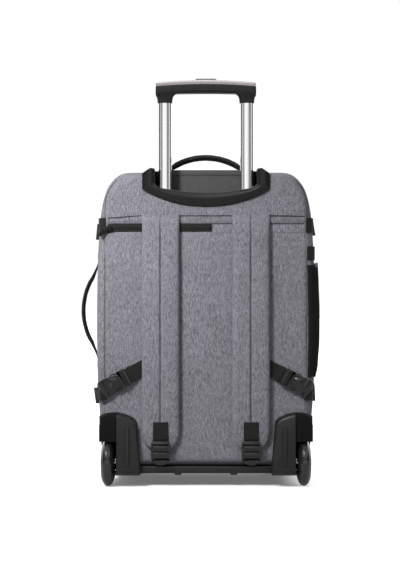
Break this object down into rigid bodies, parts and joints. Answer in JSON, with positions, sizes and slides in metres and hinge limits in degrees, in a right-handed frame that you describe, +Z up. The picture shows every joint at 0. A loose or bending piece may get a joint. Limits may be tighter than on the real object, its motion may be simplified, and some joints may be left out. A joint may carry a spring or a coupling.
{
  "type": "wheeled backpack",
  "caption": "Upright cloth travel bag with shoulder straps, two rear wheels in moulded housings and a telescoping pull handle, shown with the handle partly raised",
  "frame": {"origin": "on the ground, under the middle of the bounding box", "axes": "+Z up, +Y from the side with the shoulder straps towards the front panel, +X towards the side with the pocket"},
  "size_m": [0.3992, 0.2414, 0.6762],
  "materials": {
    "grey_cloth": "heather woven",
    "black_webbing": "woven",
    "black_zip": "coated",
    "recess_grey": "woven",
    "black_plastic": "satin",
    "wheel_black": "glossy",
    "hub_black": "satin",
    "handle_metal": "polished",
    "inner_metal": "satin",
    "axle_steel": "satin",
    "black_metal": "satin"
  },
  "bodies": {
    "bag": {"body_shell": "grey_cloth", "front_panel": "grey_cloth", "main_zip": "black_zip", "main_zip_slider_right": "black_metal", "main_zip_slider_left": "black_metal", "yoke": "grey_cloth", "zip_flap": "grey_cloth", "back_pocket": "grey_cloth", "back_zip": "black_zip", "base_tray": "black_plastic", "foot_right": "black_plastic", "foot_left": "black_plastic", "collar": "black_plastic", "recess_panel": "recess_grey", "guide_sleeve_right": "inner_metal", "guide_sleeve_left": "inner_metal", "top_handle": "black_webbing", "side_handle": "black_webbing", "shoulder_strap_right": "grey_cloth", "shoulder_strap_left": "grey_cloth", "strap_webbing_right": "black_webbing", "strap_webbing_left": "black_webbing", "ladder_lock_right": "black_plastic", "ladder_lock_left": "black_plastic", "lock_tab_right": "black_webbing", "lock_tab_left": "black_webbing", "side_webbing_right": "black_webbing", "side_webbing_left": "black_webbing", "buckle_plug_right": "black_plastic", "buckle_plug_left": "black_plastic", "buckle_socket_right": "black_plastic", "buckle_socket_left": "black_plastic", "side_band_right": "black_webbing", "side_band_left": "black_webbing", "side_glide_right": "black_plastic", "side_glide_left": "black_plastic", "upper_band_right": "black_webbing", "upper_band_left": "black_webbing", "upper_glide_right": "black_plastic", "upper_glide_left": "black_plastic", "side_pocket": "grey_cloth", "pocket_gusset": "black_webbing", "pocket_tab": "black_webbing", "wheel_housing_right": "black_plastic", "wheel_housing_left": "black_plastic", "axle_right": "axle_steel", "axle_left": "axle_steel"},
    "lower_stage": {"lower_tube_right": "inner_metal", "lower_tube_left": "inner_metal"},
    "upper_stage": {"upper_tube_right": "handle_metal", "upper_tube_left": "handle_metal", "grip": "black_plastic", "grip_cover": "handle_metal"},
    "button": {"release_button": "black_plastic"},
    "right_wheel": {"tyre_right": "wheel_black", "hub_right": "hub_black"},
    "left_wheel": {"tyre_left": "wheel_black", "hub_left": "hub_black"}
  },
  "joints": [
    {"name": "lower_slide", "type": "slide", "parent": "bag", "child": "lower_stage", "axis": [0, 0, 1], "range_m": [0, 0.2]},
    {"name": "upper_slide", "type": "slide", "parent": "lower_stage", "child": "upper_stage", "axis": [0, 0, 1], "range_m": [-0.136, 0.15]},
    {"name": "button_press", "type": "slide", "parent": "upper_stage", "child": "button", "axis": [0, 0, -1], "range_m": [0, 0.002], "stiffness_N_per_m": 600, "springref_m": -0.002},
    {"name": "right_wheel_spin", "type": "hinge", "parent": "bag", "child": "right_wheel", "pos_m": [0.17366, -0.08165, 0.039], "axis": [1, 0, 0], "continuous": true},
    {"name": "left_wheel_spin", "type": "hinge", "parent": "bag", "child": "left_wheel", "pos_m": [-0.15094, -0.08165, 0.039], "axis": [1, 0, 0], "continuous": true}
  ]
}
